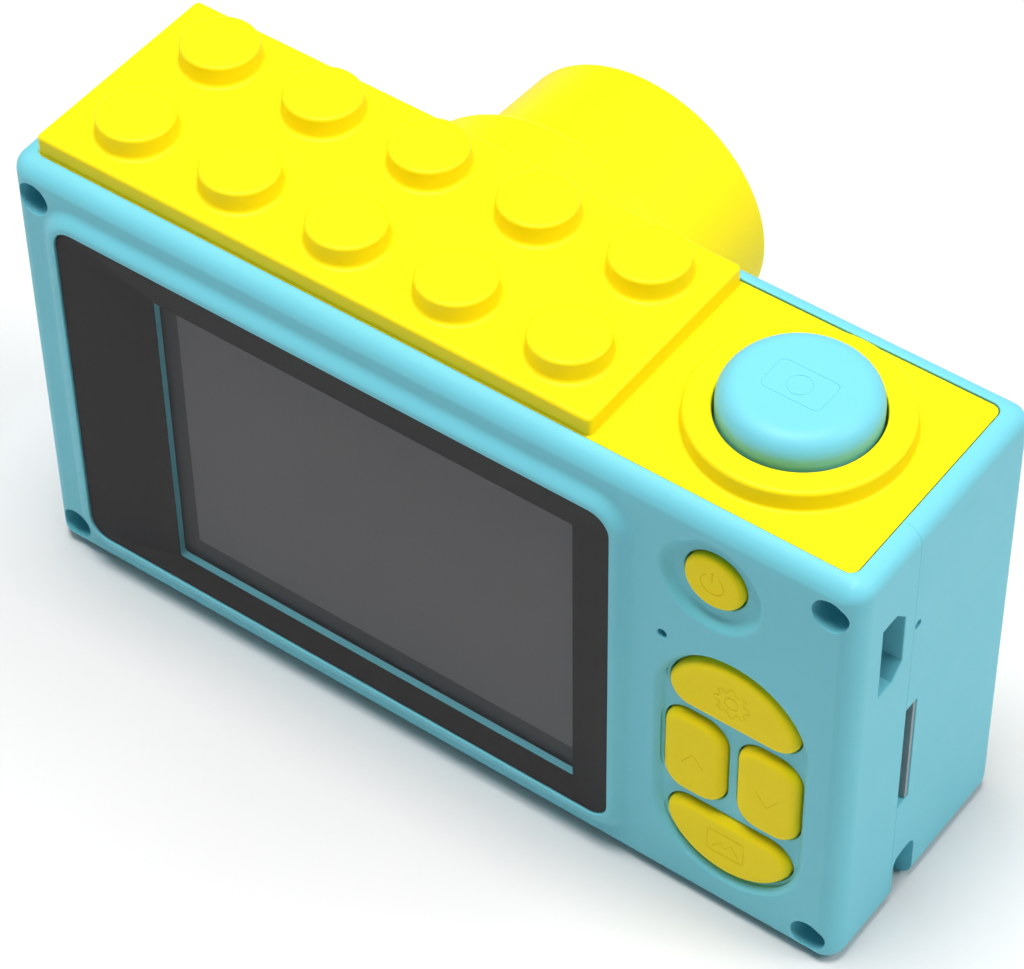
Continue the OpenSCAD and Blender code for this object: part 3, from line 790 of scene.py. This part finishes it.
def lcd_panel():
    bm = bmesh.new()
    area = (PANEL_LOW.x, PANEL_HIGH.x, PANEL_LOW.z, PANEL_HIGH.z)
    plug(bm, rounded_rect(area, 0.4), [(0, PANEL_LOW.y), (0, PANEL_HIGH.y)], on_back)
    finish_piece(new_piece("screen_body", bm), SCREEN_EDGE, "lcd", "camera", "lcd_panel")

    bm = bmesh.new()
    plug(bm, rounded_rect(ACTIVE, 0.1, 2), [(0, PANEL_LOW.y - 0.04), (0, PANEL_LOW.y)], on_back)
    finish_piece(new_piece("screen_active_area", bm), SCREEN, "lcd", "camera")


# ---------- lens ----------

def lens_barrel():
    """Two-step barrel with a spigot that sits in the hole of the front shell."""
    back = WINDOW_Y - 1.2
    base = BODY_D + 0.01
    profile = softened([
        (SPIGOT_BORE, BODY_D - WALL, 0), (SPIGOT_R, BODY_D - WALL, 0.2), (SPIGOT_R, base, 0),
        (LENS_BASE_R, base, 0.15), (LENS_BASE_R, LENS_STEP, 0.9),
        (LENS_FRONT_R + 0.5, LENS_STEP, 0.5), (LENS_FRONT_R, LENS_END, 0.6),
        (LENS_BORE, LENS_END, 0.5), (LENS_BORE, back, 0), (SPIGOT_BORE, back, 0)], 8)
    bm = bmesh.new()
    lathe(bm, profile, (LENS.x, LENS.z), on_back, 128)
    finish_piece(new_piece("stepped_barrel", bm), YELLOW, "cover_yellow", "camera", "lens_barrel")


def lens_trim():
    """Black ring around the lens window, with a sloping inside."""
    bm = bmesh.new()
    outside, front = LENS_BORE - 0.05, WINDOW_Y + TRIM_T
    trim = softened([
        (outside, WINDOW_Y, 0), (outside, front, 0.2), (TRIM_R[1], front, 0.2), (TRIM_R[0], WINDOW_Y, 0)])
    lathe(bm, trim, (LENS.x, LENS.z), on_back)
    finish_piece(new_piece("window_ring", bm), BLACK, "black_plastic", "camera", "lens_trim")


# ---------- buttons ----------

def groove(bm_target, paths, radius, place, closed=True):
    """Adds thin round bars along 2D paths, for cutting a half-round groove."""
    for path, depth in paths:
        ring = len(path)
        rows = []
        for i, (u, v) in enumerate(path):
            last = Vector(path[i - 1]) if (closed or i) else Vector(path[0])
            onward = Vector(path[(i + 1) % ring]) if (closed or i < ring - 1) else Vector(path[-1])
            along = (onward - last).normalized()
            across = Vector((along.y, -along.x))
            row = []
            for k in range(BAR_SIDES):
                t = math.radians(360 / BAR_SIDES * (k + 0.5))
                off = across * math.cos(t) * radius
                row.append(bm_target.verts.new(place(u + off.x, v + off.y, depth + radius * math.sin(t))))
            rows.append(row)
        pairs = list(zip(rows, rows[1:])) + ([(rows[-1], rows[0])] if closed else [])
        for a, b in pairs:
            for k in range(BAR_SIDES):
                following = (k + 1) % BAR_SIDES
                bm_target.faces.new((a[k], a[following], b[following], b[k]))
        if not closed:
            bm_target.faces.new(rows[0])
            bm_target.faces.new(rows[-1])


def shutter_button():
    """Hollow cap with a rounded top and the outline of a camera pressed into it."""
    bm = bmesh.new()
    low = CEILING - 0.5
    bore = SHUTTER_R - SHUTTER_WALL
    under = SHUTTER_TOP - SHUTTER_TOP_T
    profile = softened([
        (0, SHUTTER_TOP, 0), (SHUTTER_R, SHUTTER_TOP, 1.8), (SHUTTER_R, low, 0),
        (bore, low, 0), (bore, under, 0.6), (0, under, 0)], 12)
    lathe(bm, profile, (SHUTTER.x, SHUTTER.y), on_top, 96, closed=False)
    piece = new_piece("shutter_cap", bm)

    def icon(cutter):
        body = rounded_rect((SHUTTER.x - 2.6, SHUTTER.x + 2.6, SHUTTER.y - 1.8, SHUTTER.y + 1.5), 0.6, 5)
        ring = circle(SHUTTER.x, SHUTTER.y - 0.2, 1.0, 24)
        groove(cutter, [(body(), SHUTTER_TOP), (ring(), SHUTTER_TOP)], 0.045, on_top)
    carve(piece, icon)
    finish_piece(piece, BLUE, "shell_blue", "shutter", "shutter_button")


def key_cap(name, outline, face, slot_body, icon, roll=0.75):
    """Cap of one key: straight walls, a rolled edge, a flange and an icon pressed into its face."""
    bm = bmesh.new()
    profile = softened([(-1.1, face, 0), (0, face, roll), (0, FLANGE[0], 0)], 8)
    flange = [(FLANGE_R, w) for w in FLANGE]
    plug(bm, outline, profile + flange, on_back)
    piece = new_piece(f"{name}_key_cap", bm)
    carve(piece, icon, overlapping=True)
    finish_piece(piece, KEY_YELLOW, "key_yellow", slot_body, f"{name}_button")


def gear_icon(cx, cz, face):
    def build(cutter):
        teeth = []
        for i in range(8):
            for turn, r in ((-14, 1.2), (-9, 1.6), (9, 1.6), (14, 1.2)):
                teeth.append(arc(cx, cz, r, 45 * i + turn, 0, 1)[0])
        groove(cutter, [(teeth, face), (circle(cx, cz, 0.6, 20)(), face)], ICON_LINE, on_back)
    return build


def chevron_icon(cx, cz, face, side):
    def build(cutter):
        path = [(cx - 1.0, cz - 0.6 * side), (cx, cz + 0.8 * side), (cx + 1.0, cz - 0.6 * side)]
        groove(cutter, [(path, face)], ICON_LINE, on_back, closed=False)
    return build


def picture_icon(cx, cz, face):
    def build(cutter):
        border = rounded_rect((cx - 1.7, cx + 1.7, cz - 1.25, cz + 1.25), 0.2, 3)
        hills = [
            (cx - 1.2, cz - 0.7), (cx - 0.5, cz + 0.1), (cx, cz - 0.3),
            (cx + 0.5, cz + 0.4), (cx + 1.2, cz - 0.7)]
        groove(cutter, [(border(), face)], ICON_LINE, on_back)
        groove(cutter, [(hills, face)], ICON_LINE, on_back, closed=False)
    return build


def power_icon(cx, cz, face):
    line = 1.2 * ICON_LINE

    def build(cutter):
        groove(cutter, [(arc(cx, cz, 1.0, 125, 415, 24), face)], line, on_back, closed=False)
        groove(cutter, [([(cx, cz + 0.3), (cx, cz + 1.3)], face)], line, on_back, closed=False)
    return build


def keys():
    outlines = key_outlines()
    spots = {name: middle(f"{name}_plunger") for name in outlines}
    icons = {
        "settings": gear_icon(spots["settings"].x, spots["settings"].z, KEY_FACE),
        "gallery": picture_icon(spots["gallery"].x, spots["gallery"].z, KEY_FACE),
        "left": chevron_icon(spots["left"].x, spots["left"].z, KEY_FACE, 1),
        "right": chevron_icon(spots["right"].x, spots["right"].z, KEY_FACE, -1),
    }
    for name, outline in outlines.items():
        key_cap(name, outline, KEY_FACE, f"{name}_key", icons[name])
    face = DISH_D - POWER_RISE
    icon = power_icon(POWER.x, POWER.z, face)
    key_cap("power", circle(POWER.x, POWER.z, POWER_R), face, "power_key", icon, roll=0.5)


# ---------- CAD nodes that keep their shape ----------

KEPT = {
    STEEL: ["case_screws", "sensor_screws", "board_screws", "shutter_switch", "key_switches",
            "microphone", "usb_socket"],
    GREY: ["card_socket"],
    BLACK: ["lens_baffle", "lens_holder", "image_sensor", "shutter_plunger", "power_plunger",
            "settings_plunger", "left_plunger", "right_plunger", "gallery_plunger", "board_chips",
            "speaker", "usb_tongue", "reset_switch"],
    WHITE: ["lcd_backlight", "ribbon_connectors"],
    FOAM: ["lcd_gasket"],
    BOARD: ["sensor_board", "shutter_board", "main_board"],
    FLEX: ["lcd_ribbon", "sensor_ribbon"],
    POUCH: ["battery"],
    LENS_GLASS: ["lens_window", "lens_element"],
}


def kept_nodes():
    """Materials for the CAD nodes that stay. They get a fine bevel, and the lens glass a weld instead."""
    for material, names in KEPT.items():
        for name in names:
            piece = nodes[name]
            piece.data.materials.clear()
            piece.data.materials.append(material)
            if material is LENS_GLASS:
                piece.modifiers.new("closed_pole", "WELD").merge_threshold = 0.005 * MM
                continue
            bevel = piece.modifiers.new("edges", "BEVEL")
            bevel.width = 0.08 * MM
            bevel.segments = 2
            bevel.limit_method = "ANGLE"
            bevel.angle_limit = math.radians(40)


# ---------- stage ----------

def soft_box(name, place, target, size, power):
    """Round area light at a place, turned to its target."""
    light = bpy.data.lights.new(name, "AREA")
    light.shape = "DISK"
    light.size = size
    light.energy = power
    holder = bpy.data.objects.new(name, light)
    holder.location = place
    holder.rotation_mode = "QUATERNION"
    holder.rotation_quaternion = (Vector(target) - Vector(place)).to_track_quat("-Z", "Y")
    bpy.context.scene.collection.objects.link(holder)


def white_floor():
    bm = bmesh.new()
    bmesh.ops.create_grid(bm, x_segments=8, y_segments=8, size=3)
    mesh = bpy.data.meshes.new("floor")
    bm.to_mesh(mesh)
    bm.free()
    floor = bpy.data.objects.new("floor", mesh)
    bpy.context.scene.collection.objects.link(floor)
    n = Nodes("floor_paper")
    n.tint(n.noise(30, 2), (0.70, 0.70, 0.70), (0.73, 0.73, 0.73))
    n.shader.inputs["Roughness"].default_value = 0.9
    n.shader.inputs["Specular IOR Level"].default_value = 0.1
    floor.data.materials.append(n.material)
    floor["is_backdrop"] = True


def studio():
    """Floor, a faint even light from all sides and three soft boxes."""
    scene = bpy.context.scene
    white_floor()
    world = bpy.data.worlds.new("studio")
    world.use_nodes = True
    world.node_tree.nodes["Background"].inputs["Color"].default_value = (1, 1, 1, 1)
    world.node_tree.nodes["Background"].inputs["Strength"].default_value = 0.1
    scene.world = world
    soft_box("overhead", (-0.05, -0.08, 1.2), (0, 0, 0), 0.6, 16)
    soft_box("left", (-0.9, -0.2, 0.5), (0, 0, 0.02), 0.5, 1.4)
    soft_box("far_right", (0.75, 0.3, 0.75), (0, 0, 0.02), 0.5, 5)
    scene.view_settings.view_transform = "Standard"


def camera():
    """Looks down on the screen side from the right, as far away as the perspective asks for."""
    azimuth, elevation, roll = math.radians(36.9), math.radians(47.19), math.radians(-0.98)
    place = Vector((130.6, BACK_Y - 161.4, 255.1)) * MM
    across, down = math.cos(elevation), math.sin(elevation)
    forward = Vector((-math.sin(azimuth) * across, math.cos(azimuth) * across, -down))
    level = Vector((math.cos(azimuth), math.sin(azimuth), 0))
    rise = level.cross(forward)
    right = level * math.cos(roll) + rise * math.sin(roll)
    up = rise * math.cos(roll) - level * math.sin(roll)
    data = bpy.data.cameras.new("camera")
    data.sensor_width = 36
    data.lens = 139.46
    data.clip_start = 0.01
    holder = bpy.data.objects.new("camera", data)
    holder.matrix_world = Matrix.Translation(place) @ Matrix((right, up, -forward)).transposed().to_4x4()
    bpy.context.scene.collection.objects.link(holder)
    bpy.context.scene.camera = holder


camera()
rear_cover()
front_cover()
top_cover()
display_window()
lcd_panel()
lens_barrel()
lens_trim()
shutter_button()
keys()
kept_nodes()
studio()

corners = [[list(p) for p in pair] for pair in (cad_bounds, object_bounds())]
